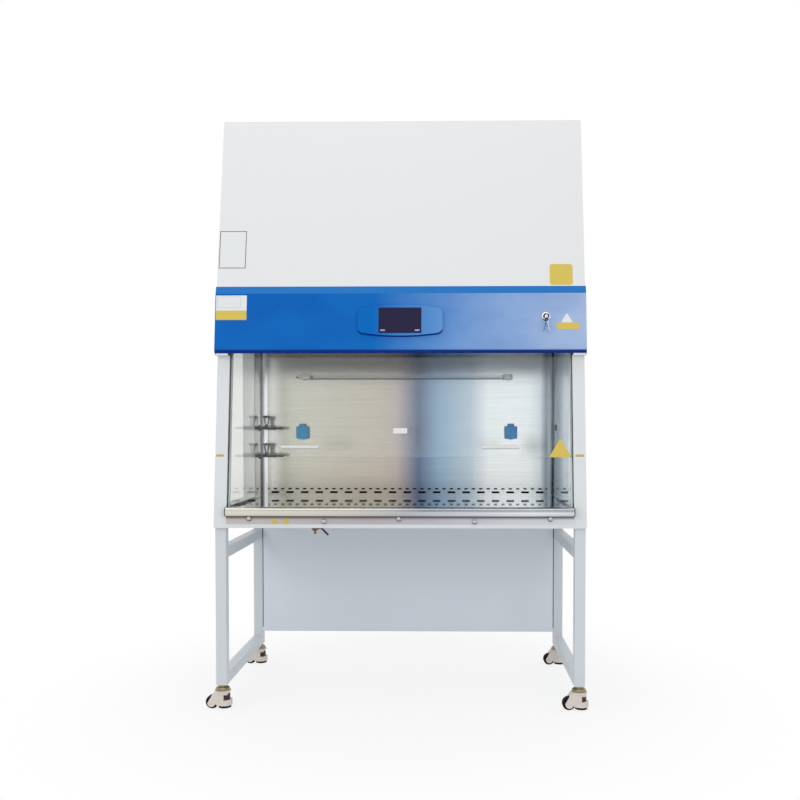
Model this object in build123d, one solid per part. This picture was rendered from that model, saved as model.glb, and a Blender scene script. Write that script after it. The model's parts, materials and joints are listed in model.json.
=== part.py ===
"""Class II biological safety cabinet on a castered stand, 4 ft size.

Millimetres, +Z up, the operator stands at -Y. The origin is on the floor, at the
middle of the cabinet's width and depth. Everything is first built with Y = 0 at the
front bottom edge of the cabinet's body and moved to that origin when it is written.
"""

from build123d import *
from math import cos, radians, sin, tan
import os

# --------------------------------------------------------------------------
# Driving dimensions, mm and degrees
# --------------------------------------------------------------------------
# Body
width = 1400  # over the side panels
body_depth = 745  # front bottom edge to rear cover
body_height = 1579  # underside to top cover
sheet = 2  # painted and stainless sheet
front_tilt = 6.7  # lean of the pillars and of the sash
pillar_width = 47
seam = 0.3  # gap left between neighbouring sheets that do not bear on each other

# Stand
leg_length = 601
tube = 40
tube_wall = 2
leg_inset = 1.6  # legs stand this far inside the body's sides
leg_front = 18  # front edge of the body to the front legs
frame_depth = 687  # over the front and rear legs
upper_rail_drop = 77  # underside of the body to the top of the upper side rails
panel_lift = 60  # bottom of the legs to the bottom of the rear panel
panel_lip = 18

# Casters
caster_height = 82
caster_nut = 10  # lock nut between caster and leg
wheel_radius = 25
wheel_width = 24
wheel_trail = 38.5  # swivel axis to wheel axis
foot_offset = 8  # swivel axis to levelling foot axis
foot_radius = 24
foot_clear = 4.7  # floor to the retracted foot

# Head (upper part, in front of the sash)
control_start = 651  # underside of the body to the lower edge of the control panel
control_height = 263
control_reach = 3  # control panel stands this far outside the side panels
control_depth = 40
control_raise = 6  # control panel stands this far in front of the upper panel
control_roll = 22
control_bevel = 28
head_reach = 36  # upper panel's lower edge in front of the pillars
upper_tilt = 10.6

# Display and key switch on the control panel
bezel_length = 328
bezel_height = 98  # at its ends
bezel_bulge = 13.5  # how far its long sides arch
bezel_corner = 26
bezel_thick = 10
bezel_middle = 130  # above the control panel's lower edge, along the face
screen_length = 162
screen_height = 98
key_from_side = 149  # side panel to the lock
key_rise = 146  # above the control panel's lower edge, along the face
key_ring_radius = 16
barrel_radius = 11

# Work chamber
work_rise = 73  # underside of the body to the work surface
chamber_height = 650
chamber_set = 8  # pillar's inner face to the chamber's side
chamber_back = 625  # front bottom edge to the rear baffle
liner_gap = 6  # chamber side to liner sheet, the thickness of the side glass
window_front = 30  # pillar face to the side window, square to the sash
window_back = 470
window_sill = 9  # above the work surface
window_head = 640
window_corner = 8
cove = 22
tray_count = 3
tray_lip = 20
tray_gap = 1
sill_depth = 78  # front grille, front to back

# Baffle slots
large_slot = (35.5, 9.0)
large_pitch = 65.6
large_rise = 19.5
small_slot = (16.0, 6.4)
small_pitch = 32.8
small_rise = 35.0
slot_margin = 36  # chamber corner to the outermost large slots' outer ends

# Front grille slots
grille_slot = (46.0, 7.0)
grille_pitch = 32.8

# Armrest, skirt and thumb screws
armrest_height = 35
armrest_reach = 27
armrest_back = 12
skirt_height = 29
strip_height = 15
screw_places = (-565, -283, -3, 281, 563)
screw_heights = (35, 24.5, 35, 24.5, 35)
screw_head_radius = 9

# Sash
sash_length = 640
sash_glass_thick = 6
sash_overlap = 17  # sash behind each pillar
sash_setback = 6  # pillar face to glass
sash_opening = 194  # work surface to the sash's lower edge, as set
sash_running = 0.3
sash_travel_up = 330
rail_wall = 3.7
rail_end_gap = 1
handle_places = (-379, 379)
handle_length = 143
handle_height = 14
handle_rise = 30  # sash's lower edge to the handle

# Fittings on the chamber's walls
uv_rise = 530  # work surface to lamp axis
uv_tube_radius = 8
uv_standoff = 30
uv_half_span = 427  # middle of the chamber to the holders' inner faces
uv_holder_length = 38
uv_holder_height = 22
uv_holder_depth = 44
socket_places = (-465, 460)
socket_rise = 286
socket_size = 56
socket_depth = 14
lid_depth = 9
lid_angle_limit = 95
cock_from_back = 65  # baffle to gas cock axis
cock_rises = (185, 306)
cock_radius = 8
cock_length = 70
cock_bonnet_place = 30  # chamber side to knob axis
cock_knob_radius = 16.5
cock_knob_height = 40
nozzle_length = 36
nozzle_radius = 6
nozzle_bore = 3.5

# Drain valve
drain_place = (-357, 262)
drain_pipe_radius = 11
drain_bore = 8
drain_length = 52
drain_lever_bend = 30
drain_lever_drop = 24

# Filters, plenum and fan
diffuser_flange = 20
diffuser_slot = (400.0, 6.0)
diffuser_pitch = 26
filter_height = 80
filter_frame = 20
sash_clear = 6  # sash rail's back to the filter
filter_side = 8  # chamber side to filter frame
plenum_clear = 12  # upper panel to the plenum box
plenum_back = 700
exhaust_filter_height = 78
exhaust_length = 700
exhaust_depth = 400
exhaust_slot = (150.0, 8.0)
exhaust_pitch = 24
impeller_radius = 150
impeller_width = 100
blade_count = 18
scroll_depth = 170
scroll_gap = 12
scroll_growth = 120
scroll_chute = 230
motor_radius = 60
motor_length = 45
shaft_radius = 8

# --------------------------------------------------------------------------
# Derived places
# --------------------------------------------------------------------------
lean = tan(radians(front_tilt))
half = width / 2
key_from_middle = half - key_from_side
stand_foot = caster_height + caster_nut
underside = stand_foot + leg_length
top = underside + body_height
work = underside + work_rise
ceiling = work + chamber_height
pillar_inner = half - pillar_width
chamber_half = pillar_inner - chamber_set
chamber_width = 2 * chamber_half
sash_half_width = pillar_inner + sash_overlap
liner_x = chamber_half + liner_gap
control_bottom = underside + control_start
control_top = control_bottom + control_height
cabinet_depth = body_depth + armrest_reach
middle_y = body_depth - cabinet_depth / 2

sash_axis = Plane(
    origin=(0, 0, underside),
    x_dir=(1, 0, 0),
    z_dir=(0, -cos(radians(front_tilt)), sin(radians(front_tilt))),
)


def front_y(z, forward=0):
    """Y of the pillars' front plane at height z, moved forward by a distance along Y."""
    return (z - underside) * lean - forward


def along_front(z):
    """Distance along the sloping front from the body's lower edge to height z."""
    return (z - underside) / cos(radians(front_tilt))


def head_y(z):
    """Y of the upper panel's face at height z."""
    return front_y(control_top, head_reach) + (z - control_top) * tan(radians(upper_tilt))


# --------------------------------------------------------------------------
# Shape helpers
# --------------------------------------------------------------------------
def block(x, y, z):
    """Box between the low and high ends given for each axis."""
    size = (x[1] - x[0], y[1] - y[0], z[1] - z[0])
    centre = ((x[0] + x[1]) / 2, (y[0] + y[1]) / 2, (z[0] + z[1]) / 2)
    return Pos(*centre) * Box(*size)


def slope_block(x, s, n):
    """Box in the sloping front's own axes: across, up the slope, out of it."""
    return sash_axis * block(x, s, n)


def polygon(points):
    return make_face(Polyline(*points, close=True))


def prism_x(face, x0, x1):
    """Face drawn as (y, z), extruded between two X values."""
    return extrude(Plane((x0, 0, 0), x_dir=(0, 1, 0), z_dir=(1, 0, 0)) * face, x1 - x0)


def prism_y(face, y0, y1):
    """Face drawn as (x, z), extruded between two Y values."""
    return extrude(Plane((0, y1, 0), x_dir=(1, 0, 0), z_dir=(0, -1, 0)) * face, y1 - y0)


def prism_z(face, z0, z1):
    """Face drawn as (x, y), extruded between two Z values."""
    return extrude(Plane((0, 0, z0)) * face, z1 - z0)


def rod(start, direction, length, radius):
    """Cylinder from a point along a direction."""
    return Plane(origin=start, z_dir=direction) * Cylinder(
        radius, length, align=(Align.CENTER, Align.CENTER, Align.MIN)
    )


def turned(start, direction, profile):
    """Solid of revolution: profile points are (radius, distance along the axis)."""
    face = Plane.XZ * polygon(profile)
    return Plane(origin=start, z_dir=direction) * revolve(face, Axis.Z)


def mirror_x(shape):
    return mirror(shape, Plane.YZ)


def centred_row(length, pitch):
    """Places of a row with the given pitch, centred on 0 and inside length."""
    count = int(length / pitch) + 1
    return [(i - (count - 1) / 2) * pitch for i in range(count)]


def fuse(*shapes):
    result = shapes[0]
    for shape in shapes[1:]:
        result = result + shape
    return result


def group(*shapes):
    """Separate solids kept together in one node."""
    return Compound([solid for shape in shapes for solid in shape.solids()])


parts = {}

# --------------------------------------------------------------------------
# Side panels: folded trays, open towards the chamber, with a window through them
# --------------------------------------------------------------------------
side_back = body_depth - sheet
side_top = top - sheet


def side_outline(inset=0):
    """Outline of a side panel, less a margin all round."""
    behind = head_reach - sheet
    corners = [
        (front_y(underside), underside),
        (front_y(control_bottom), control_bottom),
        (front_y(control_bottom, behind), control_bottom),
        (front_y(control_top, behind), control_top),
        (head_y(side_top) + sheet, side_top),
        (side_back, side_top),
        (side_back, underside),
    ]
    face = polygon(corners)
    return offset(face, -inset, kind=Kind.INTERSECTION) if inset else face


def window_outline(grow=0):
    """Side window as a face in (y, z), with round corners."""
    low = work + window_sill - grow
    high = work + window_head + grow
    setback = window_front - grow
    face = polygon(
        [
            (front_y(low, -setback), low),
            (front_y(high, -setback), high),
            (window_back - liner_gap + grow, high),
            (window_back - liner_gap + grow, low),
        ]
    )
    return fillet(face.vertices(), window_corner + grow)


def side_panel():
    tray = prism_x(side_outline(), -half, -pillar_inner)
    hollow = prism_x(side_outline(sheet), -half + sheet, -pillar_inner)
    reveal = prism_x(window_outline(sheet), -half, -pillar_inner)
    opening = prism_x(window_outline(), -half, -pillar_inner)
    return tray - (hollow - reveal) - opening


parts["side_panel_left"] = side_panel()
parts["side_panel_right"] = mirror_x(parts["side_panel_left"])

# --------------------------------------------------------------------------
# Outer covers
# --------------------------------------------------------------------------
exhaust_y = (side_back + head_y(top)) / 2
exhaust_x = (-exhaust_length / 2, exhaust_length / 2)
exhaust_span = (exhaust_y - exhaust_depth / 2, exhaust_y + exhaust_depth / 2)


def grown(span, amount):
    return (span[0] - amount, span[1] + amount)


def rear_cover():
    return block((-half, half), (side_back, body_depth), (underside, top))


def top_cover():
    cover = block((-half, half), (head_y(side_top), side_back), (side_top, top))
    opening = block(grown(exhaust_x, seam), grown(exhaust_span, seam), (side_top, top))
    return cover - opening


def exhaust_grille():
    plate = block(exhaust_x, exhaust_span, (side_top, top))
    slots = []
    for row in (-1, 1):
        for place in centred_row(exhaust_length - 2 * exhaust_pitch, exhaust_pitch):
            y = exhaust_y + row * exhaust_depth / 4
            slot = Box(exhaust_slot[1], exhaust_slot[0], sheet)
            slots.append(Pos(place, y, top - sheet / 2) * slot)
    return plate - slots


def upper_panel():
    """Sloping white panel of the head, with its top edge under the top cover's front."""
    outline = [
        (head_y(control_top), control_top),
        (head_y(side_top), side_top),
        (head_y(side_top) + sheet, side_top),
        (head_y(control_top) + sheet, control_top),
    ]
    return prism_x(polygon(outline), -half, half)


parts["rear_cover"] = rear_cover()
parts["top_cover"] = top_cover()
parts["exhaust_grille"] = exhaust_grille()
parts["upper_panel"] = upper_panel()

# --------------------------------------------------------------------------
# Control panel: a moulded cover with a rolled lower edge and a bevelled top
# --------------------------------------------------------------------------
control_face = head_reach + control_raise
face_frame = Plane(
    origin=(0, front_y(control_bottom, control_face), control_bottom),
    x_dir=sash_axis.x_dir,
    z_dir=sash_axis.z_dir,
)
control_slope = control_height / cos(radians(front_tilt))


def control_outline(inset=0, open_back=0):
    """Section of the control panel as a face in (y, z)."""
    low = control_bottom + inset
    high = control_top - inset
    face = control_face - inset
    bevel = control_top - control_bevel
    back_low = front_y(control_bottom, 4) + open_back
    back_high = front_y(control_top, head_reach - control_depth) + open_back
    outline = polygon(
        [
            (front_y(low, face), low),
            (front_y(bevel, face), bevel),
            (front_y(high, head_reach - inset), high),
            (back_high, high),
            (back_low, low),
        ]
    )
    corner = outline.vertices().sort_by(Axis.X)[0]
    return fillet(corner, control_roll - inset)


def control_panel():
    outer = prism_x(control_outline(), -half - control_reach, half + control_reach)
    inner = prism_x(
        control_outline(sheet, open_back=control_depth),
        -half - control_reach + sheet,
        half + control_reach - sheet,
    )
    body_gap = control_reach - sheet
    beside = block(
        (-half - body_gap, half + body_gap),
        (front_y(control_bottom, head_reach - sheet), body_depth),
        (control_bottom + sheet, control_top),
    )
    sides = prism_x(side_outline(), -half - body_gap, half + body_gap)
    barrel_hole = face_frame * Pos(key_from_middle, key_rise) * Cylinder(barrel_radius + seam, 5 * sheet)
    return outer - inner - sides - barrel_hole


def bezel_outline(inset=0):
    """Display surround: upright ends, arched long sides and round corners."""
    x = bezel_length / 2 - inset
    y = bezel_height / 2 - inset
    crown = y + bezel_bulge
    edges = (
        Line((-x, -y), (-x, y))
        + ThreePointArc((-x, y), (0, crown), (x, y))
        + Line((x, y), (x, -y))
        + ThreePointArc((x, -y), (0, -crown), (-x, -y))
    )
    face = make_face(edges)
    return fillet(face.vertices(), bezel_corner - inset)


def display_bezel():
    foot = Pos(0, bezel_middle) * bezel_outline()
    crest = Pos(0, bezel_middle, bezel_thick) * bezel_outline(4)
    shell = face_frame * loft([foot, crest])
    window = face_frame * Pos(0, bezel_middle, bezel_thick) * Box(screen_length, screen_height, 6)
    return shell - window


def touch_screen():
    glass_thick = 3 - seam
    size = (screen_length - 2 * seam, screen_height - 2 * seam, glass_thick)
    return face_frame * Pos(0, bezel_middle, bezel_thick - 3 + glass_thick / 2) * Box(*size)


parts["control_panel"] = control_panel()
parts["display_bezel"] = display_bezel()
parts["touch_screen"] = touch_screen()

# --------------------------------------------------------------------------
# Key switch, the key in it and the spare keys hanging from its ring
# --------------------------------------------------------------------------
key_point = face_frame * Pos(key_from_middle, key_rise, 0)
plug_radius = 6
barrel_depth = 24
collar_height = 7
turning_gap = 0.05
blade = (2.0, 8.4)
bow_radius = 11
bow_thick = 2
bow_hole = 4.5
bow_rise = collar_height + 3 + bow_radius  # control panel's face to the bow's middle
bow_hole_drop = 4
ring_radius = 9
ring_wire = 0.9
hang_gap = 0.3
spare_length = 30
spare_splay = 14


def key_switch():
    r = key_ring_radius
    rim = [
        (0, 0),
        (r, 0),
        (r, 2.5),
        (r - 3, 5),
        (r - 5, 5),
        (r - 5, collar_height),
        (0, collar_height),
    ]
    collar = turned((0, 0, 0), (0, 0, 1), rim)
    barrel = rod((0, 0, 0), (0, 0, -1), barrel_depth, barrel_radius)
    bore = Pos(0, 0, (collar_height - barrel_depth) / 2) * Cylinder(
        plug_radius + turning_gap, collar_height + barrel_depth
    )
    return key_point * (collar + barrel - bore)


def key():
    """Rotor of the lock with the key in it, bow upright."""
    rotor_height = collar_height + barrel_depth
    rotor = Pos(0, 0, (collar_height - barrel_depth) / 2) * Cylinder(plug_radius, rotor_height)
    blade_length = bow_rise + barrel_depth / 2
    shank = Pos(0, 0, bow_rise - blade_length / 2) * Box(*blade, blade_length)
    bow = Pos(0, 0, bow_rise) * Rot(0, 90, 0) * Cylinder(bow_radius, bow_thick)
    hole = Pos(0, -bow_hole_drop, bow_rise) * Rot(0, 90, 0) * Cylinder(bow_hole, bow_thick)
    return key_point * group(rotor - shank, (shank + bow) - hole)


def key_ring():
    """Split ring in the key's bow, with two spare keys hanging from it."""
    hook = bow_hole - ring_wire - hang_gap
    pivot = (key_point * Pos(0, -bow_hole_drop, bow_rise)).position
    ring = Rot(90, 0, 0) * Torus(ring_radius, ring_wire)
    upright = Rot(0, 90, 0)
    bow = upright * Cylinder(bow_radius - 1, bow_thick)
    stem = spare_length - bow_radius
    shank = Pos(0, 0, -bow_radius - stem / 2 + 2) * Box(bow_thick, blade[1], stem)
    spare = bow + shank - Pos(0, 0, bow_hole_drop) * upright * Cylinder(bow_hole, bow_thick)
    keys = [
        Rot(0, side * spare_splay, 0) * Pos(0, 0, -ring_radius - hook - bow_hole_drop) * spare
        for side in (-1, 1)
    ]
    return Pos(*pivot) * Pos(0, 0, -hook - ring_radius) * group(ring, *keys)


parts["key_switch"] = key_switch()
parts["key"] = key()
parts["key_ring"] = key_ring()

# --------------------------------------------------------------------------
# Base: drain pan on the underside, tray supports, skirt, screws, armrest, grille
# --------------------------------------------------------------------------
support_width = 30
support_top = work - tray_lip
skirt_bottom = underside + strip_height
armrest_bottom = skirt_bottom + skirt_height
armrest_top = armrest_bottom + armrest_height
screw_radius = 3
drain_x, drain_y = drain_place
tray_width = chamber_width / tray_count
tray_front = armrest_back + sill_depth
pan_x = (-pillar_inner, pillar_inner)
pan_top = armrest_bottom


def screw_holes():
    return [
        rod((x, -sheet, underside + z), (0, 1, 0), 2 * sheet, screw_radius + turning_gap)
        for x, z in zip(screw_places, screw_heights)
    ]


def base_pan():
    rise = (underside, pan_top)
    outer = block(pan_x, (0, side_back), rise)
    inner = block(grown(pan_x, -sheet), (sheet, side_back - sheet), (underside + sheet, rise[1]))
    drain = Pos(drain_x, drain_y, underside + sheet / 2) * Cylinder(drain_bore, sheet)
    pan = outer - inner - screw_holes() - drain
    y_span = (armrest_back, chamber_back)
    z_span = (underside + sheet, support_top)
    supports = []
    for i in range(tray_count + 1):
        x = -chamber_half + i * tray_width
        low = max(x - support_width / 2, pan_x[0] + sheet)
        high = min(x + support_width / 2, pan_x[1] - sheet)
        beam = block((low, high), y_span, z_span)
        hollow = block((low + sheet, high - sheet), y_span, (z_span[0], z_span[1] - sheet))
        supports.append(beam - hollow)
    return group(pan, *supports)


def front_skirt():
    plate = block(grown(pan_x, -seam), (-sheet, 0), (skirt_bottom, armrest_bottom))
    return plate - screw_holes()


def thumb_screws():
    r = screw_head_radius
    profile = [(0, 0), (r, 0), (r, 5), (r - 1.5, 7), (r - 4, 7.5), (r - 4, 6.5), (0, 6.5)]
    head = turned((0, 0, 0), (0, -1, 0), profile)
    notch = Pos(r + 0.6, -2.5, 0) * Rot(90, 0, 0) * Cylinder(1.3, 5)
    screw = head - [Rot(0, i * 45, 0) * notch for i in range(8)]
    screw += rod((0, 0, 0), (0, 1, 0), 10, screw_radius)
    return group(*[Pos(x, -sheet, underside + z) * screw for x, z in zip(screw_places, screw_heights)])


def armrest_outline(inset=0):
    """Section of the armrest in (y, z): a round nose and a flat back."""
    low = armrest_bottom + inset
    high = armrest_top - inset
    nose = (high - low) / 2
    middle = (high + low) / 2
    centre_y = -armrest_reach + armrest_height / 2
    edges = [
        Line((armrest_back, low), (centre_y, low)),
        ThreePointArc((centre_y, low), (centre_y - nose, middle), (centre_y, high)),
        Line((centre_y, high), (armrest_back, high)),
        Line((armrest_back, high), (armrest_back, low)),
    ]
    return make_face(edges)


def armrest():
    bar = prism_x(armrest_outline(), *grown(pan_x, -seam))
    return bar - prism_x(armrest_outline(sheet), *grown(pan_x, -seam))


def folded_tray(x, y, height, drop, round_corners=()):
    """Flat sheet with its four edges folded down and the named rear corners rounded."""
    outer = block(x, y, (height - drop, height))
    inner = block(grown(x, -sheet), grown(y, -sheet), (height - drop, height - sheet))
    for side in round_corners:
        outer, inner = [
            fillet(solid.edges().filter_by(Axis.Z).sort_by(Axis.Y)[-2:].sort_by(Axis.X)[side], radius)
            for solid, radius in ((outer, cove + 1), (inner, cove + 1 - sheet))
        ]
    return outer - inner


def front_grille():
    x_span = grown((-chamber_half, chamber_half), -tray_gap)
    tray = folded_tray(x_span, (armrest_back + seam, tray_front), work, tray_lip)
    slot = Rot(0, 0, 90) * SlotOverall(*grille_slot)
    y = (armrest_back + tray_front) / 2
    row = centred_row(chamber_width - 2 * grille_pitch, grille_pitch)
    return tray - [prism_z(Pos(x, y) * slot, work - sheet, work) for x in row]


def work_tray(index):
    x = -chamber_half + index * tray_width
    x_span = (x + tray_gap / 2, x + tray_width - tray_gap / 2)
    corners = ([0] if index == 0 else []) + ([-1] if index == tray_count - 1 else [])
    y_span = (tray_front + tray_gap, chamber_back - tray_gap)
    return folded_tray(x_span, y_span, work, tray_lip, corners)


parts["base_pan"] = base_pan()
parts["front_skirt"] = front_skirt()
parts["thumb_screws"] = thumb_screws()
parts["armrest"] = armrest()
parts["front_grille"] = front_grille()
for index, place in enumerate(("left", "middle", "right")):
    parts["work_tray_" + place] = work_tray(index)

# --------------------------------------------------------------------------
# Chamber lining: rear baffle with two rows of slots, side liners, side windows
# --------------------------------------------------------------------------
rail_depth = sash_setback + sash_glass_thick + rail_wall
liner_front = rail_depth + 4  # pillar face to the liner's and the window's front edge


def slot_row(places, size, height):
    outline = SlotOverall(*size)
    return [prism_y(Pos(x, height) * outline, chamber_back, chamber_back + sheet) for x in places]


def rear_baffle():
    """Back wall of the chamber: one sheet, its side edges bent forward round a cove."""
    flange_front = chamber_back - 2 * cove

    def plan(inset):
        x = chamber_half + inset
        back = chamber_back + inset
        face = polygon([(-x, flange_front), (-x, back), (x, back), (x, flange_front)])
        return fillet(face.vertices().sort_by(Axis.Y)[-2:], cove + inset)

    bent = prism_z(plan(sheet) - plan(0), support_top, ceiling)
    large = centred_row(chamber_width - 2 * slot_margin - large_slot[0], large_pitch)
    small = centred_row(chamber_width - 2 * small_slot[0], small_pitch)
    cuts = slot_row(large, large_slot, work + large_rise)
    cuts += slot_row(small, small_slot, work + small_rise)
    return bent - cuts


def side_liner():
    """Liner sheet of the left side, with the window in it and a folded jamb behind."""
    face = polygon(
        [
            (front_y(work, -liner_front), work),
            (front_y(ceiling, -liner_front), ceiling),
            (chamber_back, ceiling),
            (chamber_back, pan_top),
            (armrest_back, pan_top),
            (armrest_back, work),
        ]
    )
    x_span = (-liner_x - sheet, -liner_x)
    panel = prism_x(face, *x_span) - prism_x(window_outline(), *x_span)
    jamb = (window_back + seam, chamber_back - 2 * cove - 4)
    rise = (work + tray_gap, ceiling)
    outer = block((-liner_x, -chamber_half), jamb, rise)
    inner = block((-liner_x, -chamber_half - sheet), grown(jamb, -sheet), rise)
    return panel + (outer - inner)


def side_window():
    """Glass pane of the left side, from just behind the sash to the jamb."""
    low = work + tray_gap
    face = polygon(
        [
            (front_y(low, -liner_front), low),
            (front_y(ceiling, -liner_front), ceiling),
            (window_back, ceiling),
            (window_back, low),
        ]
    )
    return prism_x(face, -liner_x, -chamber_half)


parts["rear_baffle"] = rear_baffle()
liner, window = side_liner(), side_window()
parts["side_liners"] = group(liner, mirror_x(liner))
parts["side_windows"] = group(window, mirror_x(window))

# --------------------------------------------------------------------------
# Sash, its handles and its two rails
# --------------------------------------------------------------------------
sash_low = along_front(work + sash_opening)
sash_front = -sash_setback
sash_back = sash_front - sash_glass_thick
handle_depth = 12


def sash_glass():
    return slope_block(
        (-sash_half_width, sash_half_width), (sash_low, sash_low + sash_length), (sash_back, sash_front)
    )


def sash_handles():
    """Two moulded pull bars on the outer face of the glass, hollow behind."""
    h, d = handle_height, handle_depth
    section = polygon([(0, 0), (h, 0), (h - 2, d - 2), (h - 5, d), (3, d), (0, d - 4)])
    bars = []
    for middle in handle_places:
        low, high = middle - handle_length / 2, middle + handle_length / 2
        bar = prism_x(section, low, high)
        hollow = block((low + 6, high - 6), (2.5, h - 2.5), (0, d / 2))
        bars.append(sash_axis * Pos(0, sash_low + handle_rise, sash_front) * (bar - hollow))
    return group(*bars)


def sash_rail():
    """Channel behind the left pillar that guides one edge of the glass."""
    low = along_front(work + 6)
    high = sash_low + sash_length + sash_travel_up + 20
    inner = -pillar_inner - 4
    groove_end = -sash_half_width - rail_end_gap
    channel = slope_block((groove_end - rail_wall, inner), (low, high), (-rail_depth, -sheet))
    groove_depth = (sash_back - sash_running, sash_front + sash_running)
    return channel - slope_block((groove_end, inner), (low, high), groove_depth)


rail = sash_rail()
parts["sash_glass"] = sash_glass()
parts["sash_handles"] = sash_handles()
parts["sash_rails"] = group(rail, mirror_x(rail))

# --------------------------------------------------------------------------
# Ceiling: perforated diffuser, filters, plenum box and fan
# --------------------------------------------------------------------------
supply_bottom = ceiling + diffuser_flange
plenum_bottom = supply_bottom + filter_height
diffuser_y = (front_y(plenum_bottom, -rail_depth - sash_clear), chamber_back + sheet + 8)
exhaust_bottom = side_top - exhaust_filter_height
fan_z = (plenum_bottom + exhaust_bottom) / 2
fan_back = plenum_back - sheet
fan_front = fan_back - scroll_depth
inlet_radius = impeller_radius * 0.8


def diffuser():
    outer = block(pan_x, diffuser_y, (ceiling, supply_bottom))
    inner = block(grown(pan_x, -sheet), grown(diffuser_y, -sheet), (ceiling + sheet, supply_bottom))
    middle = sum(diffuser_y) / 2
    length, slot_width = diffuser_slot
    row = centred_row(chamber_width - 2 * diffuser_pitch, diffuser_pitch)
    cuts = [Pos(x, middle, ceiling + sheet / 2) * Box(slot_width, length, sheet) for x in row]
    return outer - inner - cuts


def filter_cell(x, y, z):
    """Filter frame with its pleated pack set back from both faces."""
    frame = block(x, y, z) - block(grown(x, -filter_frame), grown(y, -filter_frame), z)
    pack = block(grown(x, -filter_frame), grown(y, -filter_frame), grown(z, -filter_frame / 4))
    return frame + pack


def filters():
    supply = filter_cell(pan_x, diffuser_y, (supply_bottom, plenum_bottom))
    exhaust = filter_cell(exhaust_x, exhaust_span, (exhaust_bottom, side_top))
    return group(supply, exhaust)


def plenum_box():
    """Pressure box between the two filters, with the fan's inlet in its back."""
    x = grown(pan_x, -filter_side)
    plenum_front = head_y(exhaust_bottom) + sheet + plenum_clear
    y = (plenum_front, plenum_back)
    outer = block(x, y, (plenum_bottom, exhaust_bottom))
    inner = block(
        grown(x, -sheet), grown(y, -sheet), (plenum_bottom + sheet, exhaust_bottom - sheet)
    )
    supply_y = (plenum_front + filter_frame, diffuser_y[1] - filter_frame)
    supply = block(grown(x, -filter_frame), supply_y, (plenum_bottom, plenum_bottom + sheet))
    exhaust = block(
        grown(exhaust_x, -filter_frame),
        grown(exhaust_span, -filter_frame),
        (exhaust_bottom - sheet, exhaust_bottom),
    )
    inlet = rod((0, plenum_back - sheet, fan_z), (0, 1, 0), sheet, inlet_radius)
    return outer - inner - supply - exhaust - inlet


parts["diffuser"] = diffuser()
parts["filters"] = filters()
parts["plenum_box"] = plenum_box()


def scroll_outline(inset=0):
    """Spiral casing in (x, z) round the fan's axis, with a chute that opens downwards."""
    tongue, end, steps = 215, 540, 8
    start = impeller_radius + scroll_gap - inset
    points = []
    for i in range(steps + 1):
        angle = radians(tongue + (end - tongue) * i / steps)
        radius = start + scroll_growth * i / steps
        points.append((radius * cos(angle), radius * sin(angle)))
    first, last = points[0], points[-1]
    low = -scroll_chute - inset
    outline = [
        Spline(*points),
        Line(last, (last[0], low)),
        Line((last[0], low), (first[0], low)),
        Line((first[0], low), first),
    ]
    return make_face(outline)


def fan_scroll():
    """Scroll housing on the plenum's back wall, with the motor on its front plate."""
    outer = prism_y(scroll_outline(), fan_front, fan_back)
    inner = prism_y(scroll_outline(sheet), fan_front + sheet, fan_back - sheet)
    inlet = rod((0, fan_front + sheet, 0), (0, 1, 0), scroll_depth, inlet_radius)
    motor = rod((0, fan_front + sheet, 0), (0, 1, 0), motor_length, motor_radius)
    bore = rod((0, fan_front + 2 * sheet, 0), (0, 1, 0), motor_length, shaft_radius + turning_gap)
    return Pos(0, 0, fan_z) * group(outer - inner - inlet, motor - bore)


def fan_blade():
    """Forward-curved blade between the impeller's two radii, as a face in (x, z)."""
    inner, outer = impeller_radius * 0.78, impeller_radius - sheet
    middle, bow = (inner + outer) / 2, 9
    return make_face(
        [
            ThreePointArc((inner, 0), (middle, bow), (outer, 0)),
            Line((outer, 0), (outer, -sheet)),
            ThreePointArc((outer, -sheet), (middle, bow - sheet), (inner, -sheet)),
            Line((inner, -sheet), (inner, 0)),
        ]
    )


def fan_impeller():
    plate_front = fan_front + sheet + motor_length + 8
    plate_back = plate_front + sheet
    rim_back = plate_front + impeller_width
    centre = (0, plate_front, 0)
    plate = rod(centre, (0, 1, 0), sheet, impeller_radius)
    shroud = rod((0, rim_back - sheet, 0), (0, 1, 0), sheet, impeller_radius)
    shroud -= rod((0, rim_back - sheet, 0), (0, 1, 0), sheet, impeller_radius * 0.78)
    shaft = rod((0, plate_front - motor_length, 0), (0, 1, 0), motor_length, shaft_radius)
    hub = rod(centre, (0, 1, 0), 20, 3 * shaft_radius)
    blade_solid = prism_y(fan_blade(), plate_back, rim_back - sheet)
    blades = [Rot(0, 360 * i / blade_count, 0) * blade_solid for i in range(blade_count)]
    return Pos(0, 0, fan_z) * fuse(plate, shroud, shaft, hub, *blades)


parts["fan_scroll"] = fan_scroll()
parts["fan_impeller"] = fan_impeller()

# --------------------------------------------------------------------------
# Fittings in the chamber: UV lamp, covered sockets, service cocks
# --------------------------------------------------------------------------
uv_z = work + uv_rise
uv_y = chamber_back - uv_standoff


def uv_tube():
    cap = 12
    glass = rod((-uv_half_span + cap, uv_y, uv_z), (1, 0, 0), 2 * (uv_half_span - cap), uv_tube_radius)
    caps = [
        rod((x, uv_y, uv_z), (1, 0, 0), cap, uv_tube_radius - 0.5)
        for x in (-uv_half_span, uv_half_span - cap)
    ]
    return fuse(glass, *caps)


def uv_holders():
    length, height, depth = uv_holder_length, uv_holder_height, uv_holder_depth
    middle = uv_half_span + length / 2
    holder = Pos(0, chamber_back - depth / 2, uv_z) * Box(length, depth, height)
    holder = fillet(holder.edges().filter_by(Axis.X).sort_by(Axis.Y)[:2], 7)
    return group(Pos(-middle) * holder, Pos(middle) * holder)


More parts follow.
